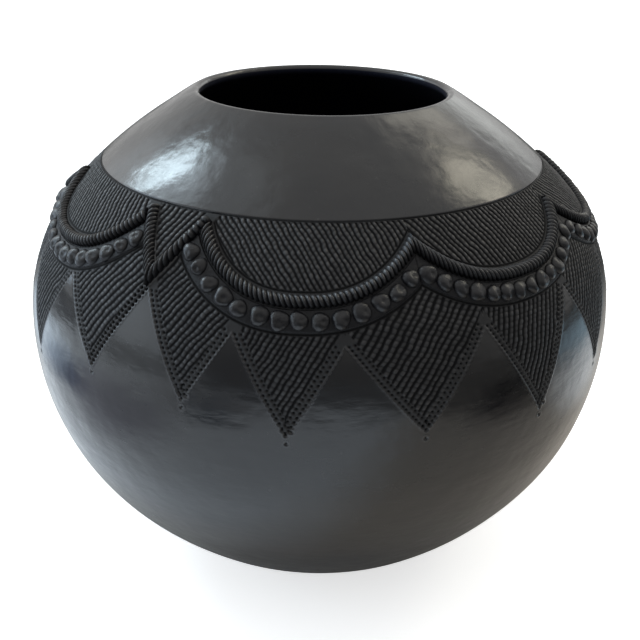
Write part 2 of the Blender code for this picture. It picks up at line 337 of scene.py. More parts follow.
def gusset_sides(index):
    """The sides, -1 or 1, on which the swag at an index of its group ends on a gusset."""
    outermost = {-1: 0, 1: SWAGS_IN_GROUP - 1}
    return {side for side in outermost if outermost[side] == index}


def swag_middle(index):
    """Azimuth from the gusset before a group to the middle of the swag at an index."""
    return GUSSET_SPAN / 2 + (index + 0.5) * SWAG_SPAN


class Path:
    """A line of the decoration. Its point() takes t from -1 at one end to 1 at the other."""

    samples = 601

    def run(self, drop):
        """Evenly spaced t, and the distance along the line at a drop up to each."""
        t = np.linspace(-1.0, 1.0, self.samples)
        steps = np.linalg.norm(np.diff(self.point(t, drop, 0.0), axis=0), axis=1)
        return t, np.concatenate(([0.0], np.cumsum(steps)))

    def spaced(self, drop, step):
        """The t of stations about one step apart, and the distance up to each."""
        t, run = self.run(drop)
        distance = np.linspace(0.0, run[-1], int(run[-1] / step) + 1)
        return np.interp(distance, run, t), distance


class Swag(Path):
    """One hanging swag: where its cord and pellets lie."""

    def __init__(self, group, index):
        self.number = group * SWAGS_IN_GROUP + index + 1
        self.middle = GUSSET_MIDDLE + group * math.pi + swag_middle(index)
        self.low = SWAG_LOWS[index]
        self.sides = gusset_sides(index)
        self.drops = np.linspace(-4 * MM, 14 * MM, 73)
        self.ends = {side: self.find_ends(side) for side in (-1, 1)}

    def limit(self, side, length):
        """The furthest azimuth from the middle that a piece of this swag may reach."""
        radius = OUTLINE.radius(length)
        if side not in self.sides:
            return SWAG_SPAN / 2 - LAY_GAP / 2 / radius
        clearance = (GUSSET_CORD_HALF + LAY_GAP) / gusset_slant() / radius
        return SWAG_SPAN / 2 + GUSSET_SPAN / 2 - gusset_offset(length) - clearance

    def find_ends(self, side):
        """The u at which the line at each drop reaches the limit on one side."""

        def inside(u):
            azimuth, length = swag_place(side * u, self.drops, self.low, self.sides)
            return np.abs(azimuth) < self.limit(side, length)

        return bisect(inside, 0.4, 1.4)

    def point(self, t, drop, height):
        """Points on or off the wall, with t from -1 to 1 between the swag's two limits."""
        t, drop, height = np.broadcast_arrays(t, drop, height)
        left, right = (np.interp(drop, self.drops, self.ends[side]) for side in (-1, 1))
        end = np.where(t > 0, right, left)
        azimuth, length = swag_place(t * end, drop, self.low, self.sides)
        return on_wall(self.middle + azimuth, length, height)


class GussetCord(Path):
    """One of a gusset's two cords, mitred against the other at the point of the V."""

    samples = 201

    def __init__(self, middle, side):
        self.middle = middle
        self.side = side
        self.drops = np.linspace(-3 * MM, 3 * MM, 25)

        def inside(v):
            azimuth, length = self.place(v, self.drops)
            return azimuth > LAY_GAP / 2 / OUTLINE.radius(length)

        self.ends = bisect(inside, 0.5, 1.5)

    def place(self, v, drop):
        """Azimuth from the gusset's middle, and length. The drop is square to the cord."""
        length = GUSSET_TOP + v * (GUSSET_APEX - GUSSET_TOP)
        slant = gusset_slant()
        tilt = math.sqrt(1.0 - slant * slant)
        return gusset_offset(length) + drop * slant / OUTLINE.radius(length), length + drop * tilt

    def point(self, t, drop, height):
        """Points on or off the wall, with t from -1 at the top to 1 at the point of the V."""
        t, drop, height = np.broadcast_arrays(t, drop, height)
        v = (t + 1.0) / 2 * np.interp(drop, self.drops, self.ends)
        azimuth, length = self.place(v, drop)
        return on_wall(self.middle + self.side * azimuth, length, height)


# ---- Relief of the tooled band


def swag_index(half):
    """The index in its group of the swag at each half-turn azimuth."""
    return np.clip(np.floor((half - GUSSET_SPAN / 2) / SWAG_SPAN), 0, SWAGS_IN_GROUP - 1)


def swag_line(half, drop):
    """Length of the line at a drop, at each half-turn azimuth."""
    index = swag_index(half)
    u = np.linspace(-1.4, 1.4, 561)
    line = np.zeros_like(half)
    for i in range(SWAGS_IN_GROUP):
        mine = index == i
        azimuth, length = swag_place(u, drop, SWAG_LOWS[i], gusset_sides(i))
        line[mine] = np.interp(half[mine] - swag_middle(i), azimuth, length)
    return line


def zigzag_corners():
    """The corners of the pendants' lower edge over a little more than half a turn."""
    corners = sorted(VALLEYS + TIPS)
    around = [(corners[-1][0] - 180.0, corners[-1][1])] + corners
    around.append((corners[0][0] + 180.0, corners[0][1]))
    azimuth, length = np.array(around).T
    return np.radians(azimuth), length * MM


def tooling(along, across, pitch, seed):
    """Rows of pressed grains: 0 in the grooves between rows, 1 on the tops of the grains.

    Each row's grains are set off from the last row's, lean a little, and vary in size.
    """
    row = np.floor(across / pitch)
    side = across / pitch - row - 0.5
    stagger = 0.42 * row + 0.16 * scatter(row, 0.0, seed)
    lean_along = 0.35 * side
    run = along / GRAIN_PITCH + stagger + lean_along
    cell = np.floor(run)
    reach = run - cell - 0.5
    size = 0.74 + 0.26 * scatter(row, cell, seed)
    grain = np.sqrt(np.clip(1.0 - (reach / 0.52) ** 2, 0.0, 1.0))
    ridge = np.clip(1.0 - np.abs(side / 0.42) ** 2.4, 0.0, 1.0)
    return ridge * size * (0.30 + 0.70 * grain)


def groove(distance):
    """The share of an incised line's depth at a distance from its middle."""
    return np.exp(-((distance / LINE_WIDTH) ** 2))


class Band:
    """The relief of the tooled band on a grid of rows (lengths) and columns (azimuths)."""

    def __init__(self, azimuth, length):
        self.azimuth = azimuth
        self.length = length
        self.half = np.mod(azimuth - GUSSET_MIDDLE, math.pi)
        shape = (len(length), len(azimuth))
        self.relief = np.zeros(shape)
        self.tooled = np.zeros(shape)
        # Low values here are partly real dull clay and partly painted shade in grooves, pits and
        # lines.
        self.polish_and_painted_shade = np.ones(shape)
        self.under_shoulder = length[:, None] - SHOULDER_END
        self.upper = self.below(swag_line(self.half, UPPER_LINE_DROP))
        self.lower = self.below(swag_line(self.half, LOWER_LINE_DROP))
        self.over_zigzag = -self.below(np.interp(self.half, *zigzag_corners()))
        folded = np.minimum(self.half, math.pi - self.half)
        aside = folded - gusset_offset(length)[:, None]
        self.beside_gusset = aside * OUTLINE.radius(length)[:, None] * gusset_slant()
        self.weave = SoftNoise(21, 90, 16)
        self.jitter = SoftNoise(22, 280, 34)
        self.cut_fields()
        self.punch_edges()
        self.cut_lines()

    def below(self, curve):
        """The distance below a curve across the band at each row and column, square to it."""
        step = OUTLINE.radius(curve) * (self.azimuth[1] - self.azimuth[0])
        slope = (np.roll(curve, -1) - np.roll(curve, 1)) / (2 * step)
        cosine = 1.0 / np.sqrt(1.0 + slope * slope)
        return (self.length[:, None] - curve) * cosine

    def cut_fields(self):
        """Cuts the fields over the swags, in the gussets and in the pendants."""
        margin = GUSSET_CORD_HALF + CORD_MARGIN
        outside = self.beside_gusset - margin
        room = np.minimum(np.minimum(self.under_shoulder, -self.upper) - LINE_MARGIN, outside)
        middles = [swag_middle(i) for i in range(SWAGS_IN_GROUP)]
        self.row_of_fields(room, swag_index(self.half), middles, SWAG_CENTRE, SWAG_ROWS, 0)

        room = np.minimum(self.under_shoulder - LINE_MARGIN, -self.beside_gusset - margin)
        for turn in range(2):
            middle = GUSSET_MIDDLE + turn * math.pi
            near = np.abs(self.azimuth - middle) < GUSSET_SPAN
            self.field(room, near, middle, GUSSET_CENTRE, GUSSET_ROWS, 41)

        valleys, tips = (np.radians([place[0] for place in corners]) for corners in (VALLEYS, TIPS))
        owner = np.mod(np.searchsorted(valleys, self.half, side="right") - 1, len(VALLEYS))
        over_edge = np.minimum(self.lower - LOWER_LINE_MARGIN, self.over_zigzag)
        room = np.minimum(over_edge, outside)
        self.row_of_fields(room, owner, tips, PENDANT_CENTRE, PENDANT_ROWS, 50)

    def row_of_fields(self, room, owner, middles, length, rows, seed):
        """Fills like fields all round. owner is the index of each column's field."""
        for turn in range(-1, 2):
            for i, from_gusset in enumerate(middles):
                middle = GUSSET_MIDDLE + from_gusset + turn * math.pi
                near = np.abs(self.azimuth - middle) < math.radians(30.0)
                mine = (owner == i) & near
                self.field(room, mine, middle, length, rows[i], seed + i + 10 * turn)

    def field(self, room, columns, middle, centre_length, rows, seed):
        """Fills one field with rows of grains. room is the distance inside its borders."""
        picked = np.flatnonzero(columns)
        down, over = np.nonzero(room[:, picked] > 0.0)
        over = picked[over]
        azimuth, length = self.azimuth[over], self.length[down]
        centre = on_wall(middle, centre_length, 0.0)
        up = centre - on_wall(middle, centre_length + MM, 0.0)
        up = up / np.linalg.norm(up)
        right = np.array((math.cos(middle), math.sin(middle), 0.0))
        from_centre = on_wall(azimuth, length, 0.0) - centre
        x, y = from_centre @ right, from_centre @ up
        level = (length - SHOULDER_END) / (BAND_END - SHOULDER_END)
        angle, pitch = math.radians(rows[0]), rows[1] * MM
        along = x * math.cos(angle) + y * math.sin(angle)
        across = y * math.cos(angle) - x * math.sin(angle)
        across = across + ROW_WANDER * self.weave(azimuth, level)
        across = across + ROW_JITTER * self.jitter(azimuth, level)
        along = along + GRAIN_WANDER * self.weave(azimuth + 1.0, level)
        value = tooling(along, across, pitch, seed)
        edging = ease((EDGE_ZONE - self.over_zigzag[down, over]) / (0.7 * MM))
        value = value * (1.0 - edging) + EDGE_LEVEL * edging
        mask = ease(room[down, over] / (0.5 * MM))
        self.relief[down, over] -= TOOLING_DEPTH * (0.92 - value) * mask
        self.tooled[down, over] = mask
        # Partly the burnish of the grain tops and partly painted shade, low in the grooves.
        self.polish_and_painted_shade[down, over] = 1.0 + (value - 1.0) * mask

    def punch_edges(self):
        """Punches two rows of pits along both edges of every pendant, and one below each tip."""
        corners = np.stack(zigzag_corners(), axis=-1)
        pits = [(math.radians(tip), (length + TIP_PIT_DROP) * MM, 1.0) for tip, length in TIPS]
        for k, (start, stop) in enumerate(zip(corners, corners[1:])):
            metric = np.array((float(OUTLINE.radius((start[1] + stop[1]) / 2)), 1.0))
            span = np.linalg.norm((stop - start) * metric)
            direction = (stop - start) * metric / span
            inwards = np.array((direction[1], -direction[0]))
            for r, offset in enumerate(PIT_ROWS):
                for i in range(int((span - 2.5 * MM) / PIT_PITCH) + 1):
                    shake = (scatter(i, k, r) - 0.5) * 0.5 * MM
                    at = 1.2 * MM + (i + 0.5 * r) * PIT_PITCH + shake
                    place = start + (direction * at + inwards * offset) / metric
                    pits.append((*place, 0.8 + 0.4 * scatter(k, i, 7 + r)))
        for half, length, size in pits:
            for turn in range(2):
                self.punch(GUSSET_MIDDLE + half + turn * math.pi, length, size)

    def punch(self, azimuth, length, size):
        """Presses one pit with a slightly raised rim."""
        rows = np.flatnonzero(np.abs(self.length - length) < PIT_REACH)
        radius = float(OUTLINE.radius(length))
        step = FULL_TURN / len(self.azimuth)
        centre = int(round((azimuth - self.azimuth[0]) / step))
        width = int(PIT_REACH / radius / step) + 1
        columns = np.arange(centre - width, centre + width + 1)
        x = (self.azimuth[0] + columns * step - azimuth) * radius
        distance = np.hypot(x[None, :], (self.length[rows] - length)[:, None])
        part = np.ix_(rows, np.mod(columns, len(self.azimuth)))
        clear = ease((self.lower[part] - 1.2 * MM) / (0.5 * MM))
        clear = clear * ease((self.beside_gusset[part] - GUSSET_CORD_HALF) / (0.5 * MM))
        pit = np.exp(-((distance / PIT_RADIUS) ** 2)) * clear
        rim = np.exp(-(((distance - PIT_RIM_RADIUS) / (0.4 * MM)) ** 2)) * clear
        self.relief[part] += size * (PIT_RIM_HEIGHT * rim - PIT_DEPTH * pit)
        self.tooled[part] = np.maximum(self.tooled[part], np.maximum(pit, 0.7 * rim))
        # Painted shade: the pit is darker.
        self.polish_and_painted_shade[part] *= 1.0 - 0.9 * pit

    def cut_lines(self):
        """Dulls the clay beside the lines and under the cords, then incises the lines and paints
        shade into them.
        """
        under_shoulder = self.under_shoulder
        beside = np.minimum(np.abs(self.lower), np.abs(self.upper))
        beside = np.where(under_shoulder > 0.0, np.minimum(beside, under_shoulder), beside)
        unburnished = (under_shoulder > 0.0) & (self.lower < 0.0)
        dull = np.maximum(ease(2.2 - beside / MM), unburnished)
        self.polish_and_painted_shade -= 0.5 * np.maximum(dull - self.tooled, 0.0)
        self.tooled = np.maximum(self.tooled, dull)
        clear = self.beside_gusset - GUSSET_CORD_HALF - CORD_MARGIN
        swag_lines = np.maximum(groove(self.lower), groove(self.upper)) * ease(clear / (0.6 * MM))
        for line in (swag_lines, groove(under_shoulder)):
            self.relief -= LINE_DEPTH * line
            # Painted shade: the line is darker.
            self.polish_and_painted_shade *= 1.0 - 0.8 * line


# ---- Meshes


def tube(rings, closed=False):
    """Points, quads and triangles of a tube through rings of points, with its faces out.

    The last ring of a closed tube joins the first. Both ends of an open one have a cap.
    """
    count, sides = rings.shape[:2]
    points = rings.reshape(-1, 3)
    index = np.arange(count * sides).reshape(count, sides)
    right = np.roll(index, -1, axis=1)
    below, below_right = np.roll(index, -1, axis=0), np.roll(right, -1, axis=0)
    quads = np.stack((index, below, below_right, right), axis=-1)
    quads = quads[: count if closed else count - 1].reshape(-1, 4)
    caps = np.zeros((0, 3), int)
    if not closed:
        fans = []
        for end, ring in enumerate((index[0], index[-1])):
            centre = np.full(sides, count * sides + end)
            fans.append(np.stack((ring, np.roll(ring, -1), centre), axis=-1))
        caps = np.concatenate((fans[0], fans[1][:, ::-1]))
        points = np.concatenate((points, [rings[0].mean(axis=0), rings[-1].mean(axis=0)]))
    triangles = np.concatenate((quads[:, (0, 1, 2)], quads[:, (0, 2, 3)], caps))
    a, b, c = (points[triangles[:, i]] for i in range(3))
    middle = points.mean(axis=0)
    if np.einsum("ij,ij->", a - middle, np.cross(b - middle, c - middle)) < 0.0:
        quads, caps = quads[:, ::-1], caps[:, ::-1]
    return points, quads, caps


def make_mesh(name, points, quads, triangles):
    """A smooth mesh from arrays of points, quads and triangles."""
    mesh = bpy.data.meshes.new(name)
    mesh.from_pydata(points.tolist(), [], quads.tolist() + triangles.tolist())
    mesh.validate()
    mesh.shade_smooth()
    return mesh


def mark_sharp_rows(mesh, columns, rows):
    """Marks as sharp the edges that run along the given rows of a grid."""
    ends = np.zeros(2 * len(mesh.edges), np.int32)
    mesh.edges.foreach_get("vertices", ends)
    ends = ends.reshape(-1, 2) // columns
    sharp = (ends[:, 0] == ends[:, 1]) & np.isin(ends[:, 0], rows)
    mesh.attributes.new("sharp_edge", "BOOLEAN", "EDGE").data.foreach_set("value", sharp)


def set_point_values(mesh, name, values):
    """Stores one number for each point under a name that a material can read."""
    padded = np.zeros(len(mesh.vertices), np.float32)
    padded[: values.size] = values.ravel()
    mesh.attributes.new(name, "FLOAT", "POINT").data.foreach_set("value", padded)


def add_object(name, data):
    """A new object in the scene."""
    item = bpy.data.objects.new(name, data)
    bpy.context.scene.collection.objects.link(item)
    return item


def add_piece(name, node, mesh, materials):
    """A visible piece, which rides on the pot and stands for a CAD node."""
    for material in materials:
        mesh.materials.append(material)
    piece = add_object(name, mesh)
    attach(piece, "root")
    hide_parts(node)


# ---- Walls


def graded(start, stop, step):
    """Lengths that close up towards both joints."""
    near = np.array((0.0, 0.2, 0.4, 0.62, 0.88, 1.2)) * MM
    middle = spread(start + 1.6 * MM, stop - 1.6 * MM, step)
    return np.concatenate((start + near, middle, stop - near[::-1]))


def column_azimuths(columns):
    """Evenly spaced azimuths round the pot, starting at the back."""
    return np.arange(columns) * FULL_TURN / columns - math.pi


def inner_rows(azimuth, start, stop, step):
    """Rows of points down the inside, which keeps the marks of the potter's hand."""
    length = spread(start, stop, step)[:, None]
    marks = INSIDE_UNEVENNESS * INSIDE_MARKS(azimuth, length / OUTLINE.length)
    height = marks * fade_at_ends(length, 6 * MM) - wall_thickness(length)
    return on_wall(azimuth, length, height)


def add_wall(name, node, rings, closed, joints, is_inside, materials, values=None):
    """A piece of wall. is_inside says which rows of faces, then caps, have the second material."""
    columns = rings.shape[1]
    mesh = make_mesh(name, *tube(rings, closed))
    mark_sharp_rows(mesh, columns, joints)
    mesh.polygons.foreach_set("material_index", np.repeat(is_inside, columns).astype(np.int32))
    for key, value in (values or {}).items():
        set_point_values(mesh, key, value)
    add_piece(name, node, mesh, materials)


def ring_wall(name, node, azimuth, lengths, relief, materials, values=None, sooty_rows=0):
    """A closed ring of wall: outer rows, then inner rows from the lower joint back up."""
    outer = on_wall(azimuth, lengths[:, None], relief)
    lip_end = LIP_ROUNDING * math.radians(OUTLINE_ARCS[0][1])
    top = max(lengths[0] + SCARF_DROP, lip_end)
    inner = inner_rows(azimuth, top, lengths[-1] + SCARF_DROP, 6 * MM)[::-1]
    rings = np.concatenate((outer, inner))
    joints = [len(outer) - 1, len(outer)]
    if lengths[0] > 0:
        joints += [0, len(rings) - 1]
    row = np.arange(len(rings))
    is_inside = (row >= len(outer) - 1) | (row < sooty_rows)
    add_wall(name, node, rings, True, joints, is_inside, materials, values)


def rim(materials):
    """The last coil, with its rounded lip."""
    lip = -LIP_ROUNDING * np.radians(np.linspace(LIP_TURN, 0.0, 15))
    lengths = np.concatenate((lip, graded(0.6 * MM, RIM_END, 1.2 * MM)))
    azimuth = column_azimuths(WALL_COLUMNS)
    ring_wall("rim", "rim_coil", azimuth, lengths, 0.0, materials, sooty_rows=LIP_SOOTY_ROWS)


def plain_wall(name, node, start, stop, materials):
    """A burnished ring of wall, with its share of the line under the shoulder."""
    lengths = graded(start, stop, WALL_STEP)
    relief = -LINE_DEPTH * groove(lengths[:, None] - SHOULDER_END)
    ring_wall(name, node, column_azimuths(WALL_COLUMNS), lengths, relief, materials)


def tooled_band(materials):
    """The tooled ring of wall behind the swags."""
    lengths = graded(SHOULDER_END, BAND_END, BAND_STEP)
    azimuth = column_azimuths(BAND_COLUMNS)
    band = Band(azimuth, lengths)
    values = {"tooled": band.tooled, "polish_and_painted_shade": band.polish_and_painted_shade}
    ring_wall("tooled_band", "band_wall", azimuth, lengths, band.relief, materials, values)


def base(materials):
    """The bowl at the bottom, with its resting face and its floor inside."""
    azimuth = column_azimuths(WALL_COLUMNS)
    outer = on_wall(azimuth, graded(LOWER_WALL_END, OUTLINE.length, WALL_STEP)[:, None], 0.0)
    inner = inner_rows(azimuth, LOWER_WALL_END + SCARF_DROP, OUTLINE.length, 5 * MM)
    radius = OUTLINE.resting_radius * np.array(FACE_RINGS)[:, None]
    x, y = radius * np.sin(azimuth), -radius * np.cos(azimuth)
    resting = np.stack((x, y, np.zeros_like(x)), axis=-1)
    floor = resting + np.array((0.0, 0.0, WALL_AT_FLOOR))
    rings = np.concatenate((floor[::-1], inner[::-1], outer, resting))
    joint = len(floor) + len(inner)
    row = np.arange(len(rings) + 1)
    is_inside = (row < joint) | (row == len(rings) - 1)
    add_wall("base", "base_bowl", rings, False, [joint - 1, joint], is_inside, materials)


# ---- Cords and pellets


def strand_reach(phase):
    """How far the outside of a cord of round strands lies from its middle, as a share.

    The phase grows by a full turn from the gap before one strand to the gap after it.
    """
    from_strand = (np.mod(phase, FULL_TURN) - math.pi) / 3
    offset = 1.0 - STRAND_RADIUS
    across = offset * np.sin(from_strand)
    lobed = offset * np.cos(from_strand) + np.sqrt(STRAND_RADIUS**2 - across**2)
    from_gap = (math.pi / 3 - np.abs(from_strand)) / math.radians(13.0)
    return lobed - 0.10 * np.exp(-(from_gap**2))


def twisted_cord(name, node, path, size, lay, strands, seed, material):
    """A cord of twisted strands laid on the wall along a path, one turn in each lay."""
    width, height = size
    t, distance = path.spaced(0.0, CORD_STEP)
    angle = np.radians(np.linspace(-CORD_HALF_WRAP, CORD_HALF_WRAP, CORD_SIDES))
    turn = angle - FULL_TURN * distance[:, None] / lay
    noise = SoftNoise(seed, 24, len(t) // 8 + 2)
    share = (distance / distance[-1])[:, None]
    reach = strand_reach(turn * strands) * (1.0 + 0.055 * noise(turn, share))
    drop = reach * width / 2 * np.sin(angle)
    rings = path.point(t[:, None], drop, reach * height * np.cos(angle))
    mesh = make_mesh(name, *tube(rings))
    mark_sharp_rows(mesh, CORD_SIDES, [0, len(t) - 1])
    # Partly worn crests and partly painted shade: the cord is darker in the grooves between
    # strands, beside the wall and on its lower side, away from the light above.
    crest_wear_and_painted_shade = np.clip((reach - 0.68) / 0.30, 0.0, 1.0) * np.clip(np.cos(angle) + 0.35, 0.0, 1.0)
    crest_wear_and_painted_shade = crest_wear_and_painted_shade * np.clip(0.85 - 0.7 * np.sin(angle), 0.1, 1.0)
    set_point_values(mesh, "polish_and_painted_shade", crest_wear_and_painted_shade)
    add_piece(name, node, mesh, [material])


def strip_rings(swag):
    """The thin strip that the pellets are pressed on, with rounded edges."""
    t, _ = swag.spaced(PELLET_DROP, 1.0 * MM)
    turn = np.radians(np.linspace(0.0, 90.0, 4))
    inset = STRIP_ROUNDING * (1.0 - np.cos(turn))
    rise = STRIP_HEIGHT * np.sin(turn)
    drops = (STRIP_TOP, *(STRIP_TOP + inset), *(STRIP_BOTTOM - inset[::-1]), STRIP_BOTTOM)
    heights = (-EMBEDDING, *rise, *rise[::-1], -EMBEDDING)
    return swag.point(t[:, None], np.array(drops), np.array(heights))


def pellet(swag, t, size, seed):
    """Rings of points from the top of a hand-pressed pellet to its back, and how polished they are,
    with painted shade: darker low down where the pellet meets the strip.
    """
    polar = np.linspace(0.03, 1.0, PELLET_RINGS)[:, None] * math.pi
    around = np.linspace(0.0, FULL_TURN, PELLET_SIDES, endpoint=False)
    rng = np.random.default_rng(seed)
    lobes = sum(
        rng.uniform(0.02, 0.09) * np.cos(k * around + rng.uniform(0, FULL_TURN)) for k in (1, 2, 3)
    )
    flatness = rng.uniform(0.92, 1.18)
    z = PELLET_HEIGHT * np.sign(np.cos(polar)) * np.abs(np.cos(polar)) ** flatness + 0.0 * around
    flare = 1.0 + 0.02 * np.exp(-((z / (0.6 * MM)) ** 2))
    radius = PELLET_RADIUS * size * np.sin(polar) ** flatness * (1.0 + lobes) * flare
    x, y = radius * np.cos(around), radius * np.sin(around)
    tilt_x, tilt_y = rng.uniform(-0.26, -0.02), rng.uniform(-0.02, 0.26)
    above = np.maximum(z, 0.0) / PELLET_HEIGHT
    z = z + above * (tilt_x * x + tilt_y * y)
    press_x, press_y = rng.uniform(0.4, 1.9) * MM, rng.uniform(-0.8, 1.6) * MM
    pressed = np.exp(-((x - press_x) ** 2 + (y - press_y) ** 2) / PRESS_RADIUS**2)
    z = z - rng.uniform(0.6, 1.2) * MM * pressed * above
    z = np.maximum(z, -EMBEDDING)
    drop = PELLET_DROP + rng.uniform(-0.3, 0.3) * MM
    centre = swag.point(t, drop, STRIP_HEIGHT * 0.6)
    outward = swag.point(t, drop, 10 * MM) - swag.point(t, drop, 0.0)
    along = swag.point(t + 0.01, drop, 0.0) - swag.point(t - 0.01, drop, 0.0)
    outward, along = outward / np.linalg.norm(outward), along / np.linalg.norm(along)
    down = np.cross(along, outward)
    points = centre + x[..., None] * along + y[..., None] * down + z[..., None] * outward
    # Painted shade: the value falls towards the pellet's foot, so the clay is darker there.
    return points, 0.8 * ease(z / (2.0 * MM) + 0.25)


def pellet_places(swag):
    """The t of each pellet's centre, evenly spaced along the strip."""
    t, run = swag.run(PELLET_DROP)
    left, right = (GUSSET_ROOM if side in swag.sides else CUSP_ROOM for side in (-1, 1))
    wanted = np.linspace(left, run[-1] - right, PELLETS_IN_SWAG)
    shake = (scatter(np.arange(PELLETS_IN_SWAG), swag.number, 3) - 0.5) * 0.9 * MM
    return np.interp(wanted + shake, run, t)


def pellet_row(swag, material):
    """A strip with its row of pellets, as one mesh."""
    parts = [tube(strip_rings(swag))]
    polish_and_painted_shade = [np.full(len(parts[0][0]), 0.4)]
    for i, t in enumerate(pellet_places(swag)):
        size = 0.93 + 0.15 * float(scatter(i, swag.number, 5))
        # Each pellet brings painted shade at its foot.
        rings, wear_and_painted_shade = pellet(swag, t, size, 100 * swag.number + i)
        parts.append(tube(rings))
        polish_and_painted_shade.append(np.concatenate((wear_and_painted_shade.ravel(), (1.0, 0.0))))
    points, quads, triangles = zip(*parts)
    starts = np.cumsum([0] + [len(part) for part in points[:-1]])
    quads = np.concatenate([part + start for part, start in zip(quads, starts)])
    triangles = np.concatenate([part + start for part, start in zip(triangles, starts)])
    name = f"pellet_row_{swag.number}"
    mesh = make_mesh(name, np.concatenate(points), quads, triangles)
    set_point_values(mesh, "polish_and_painted_shade", np.concatenate(polish_and_painted_shade))
    add_piece(name, f"pellet_strip_{swag.number}", mesh, [material])


# ---- Materials

BURNISHED = ((0.013, 0.0135, 0.0155), (0.020, 0.0195, 0.0195))
SMOKE = (0.030, 0.023, 0.018)
PORES = (0.050, 0.049, 0.047)
# Painted shade in the tooled grooves, then the colour of the grain tops.
CUT_GROOVE_SHADE_TO_TOPS = ((0.0045, 0.0045, 0.005), (0.015, 0.015, 0.017))
# Painted shade in the incised lines and pits.
LINE_SHADE = (0.006, 0.006, 0.007)
DUST = (0.022, 0.021, 0.020)
SOOT = ((0.0020, 0.0030, 0.0110), (0.0045, 0.0055, 0.0130))
# Painted shade in the hollows of the cords and pellets.
HOLLOW_SHADE = (0.002, 0.002, 0.003)
CORD_CRESTS = (0.011, 0.011, 0.013)
PELLET_CRESTS = (0.006, 0.006, 0.008)
WHITE = (1.0, 1.0, 1.0)


class Nodes:
    """Builds a node tree. Each method adds nodes and returns an output."""

    def __init__(self, tree):
        self.tree = tree

    def add(self, kind, inputs=None, **settings):
        """Adds a node, with settings, and values or links for its inputs."""
        node = self.tree.nodes.new(kind)
        for key, value in settings.items():
            setattr(node, key, value)
        for key, value in (inputs or {}).items():
            self.feed(node.inputs[key], value)
        return node

    def feed(self, socket, value):
        """Links an output to an input, or sets the input's value. A colour is three numbers."""
        if isinstance(value, bpy.types.NodeSocket):
            self.tree.links.new(value, socket)
        else:
            socket.default_value = (*value, 1.0) if socket.type == "RGBA" else value

    def math(self, operation, a, b=0.0):
        return self.add("ShaderNodeMath", {0: a, 1: b}, operation=operation).outputs[0]

    def vector(self, operation, a, b=(0.0, 0.0, 0.0)):
        outputs = self.add("ShaderNodeVectorMath", {0: a, 1: b}, operation=operation).outputs
        return outputs[1] if operation in ("LENGTH", "DISTANCE", "DOT_PRODUCT") else outputs[0]

    def noise(self, place, scale, detail=2.0, roughness=0.5):
        inputs = {"Vector": place, "Scale": scale, "Detail": detail, "Roughness": roughness}
        return self.add("ShaderNodeTexNoise", inputs).outputs[0]

    def stretch(self, value, low, high, to_low=0.0, to_high=1.0):
        inputs = {0: value, 1: low, 2: high, 3: to_low, 4: to_high}
        return self.add("ShaderNodeMapRange", inputs, clamp=True).outputs[0]

    def mix(self, share, first, second, kind="RGBA"):
        """A mix of two colours, or of two values of the kind FLOAT or VECTOR."""
        socket, output = {"FLOAT": (2, 0), "VECTOR": (4, 1), "RGBA": (6, 2)}[kind]
        inputs = {0: share, socket: first, socket + 1: second}
        return self.add("ShaderNodeMix", inputs, data_type=kind).outputs[output]

    def scaled(self, tint, strength):
        """A colour or vector times a number."""
        node = self.add("ShaderNodeVectorMath", {0: tint, 3: strength}, operation="SCALE")
        return node.outputs[0]

    def split(self, place):
        """The three parts of a vector."""
        return self.add("ShaderNodeSeparateXYZ", {0: place}).outputs

    def path(self, kind):
        """1 for rays of one kind, such as "Is Camera Ray", and 0 for others."""
        return self.add("ShaderNodeLightPath").outputs[kind]


class Shader(Nodes):
    """The node tree of a material."""

    def __init__(self, name):
        self.material = bpy.data.materials.new(name)
        self.material.use_nodes = True
        super().__init__(self.material.node_tree)

    def finish(self, tint, rough, **others):
        """Feeds the surface, and returns the material. _ stands for a space in a name."""
        surface = self.tree.nodes["Principled BSDF"]
        self.feed(surface.inputs["Base Color"], tint)
        self.feed(surface.inputs["Roughness"], rough)
        for name, value in others.items():
            self.feed(surface.inputs[name.replace("_", " ")], value)
        return self.material

    def value(self, name):
        return self.add("ShaderNodeAttribute", attribute_name=name).outputs["Fac"]

    def place(self):
        return self.add("ShaderNodeTexCoord").outputs["Object"]

    def strokes(self, place, across, along):
        """A vector whose noise runs in strokes up and down the wall."""
        x, y, height = self.split(place)
        level = self.add("ShaderNodeCombineXYZ", {0: x, 1: y})
        direction = self.vector("NORMALIZE", level.outputs[0])
        spun = self.vector("MULTIPLY", direction, (across, across, 0.0))
        up = self.add("ShaderNodeCombineXYZ", {2: self.math("MULTIPLY", height, along)})
        return self.vector("ADD", spun, up.outputs[0])

    def bump(self, height, distance, normal=None):
        inputs = {"Height": height, "Distance": distance, "Strength": 1.0}
        if normal is not None:
            inputs["Normal"] = normal
        return self.add("ShaderNodeBump", inputs).outputs[0]


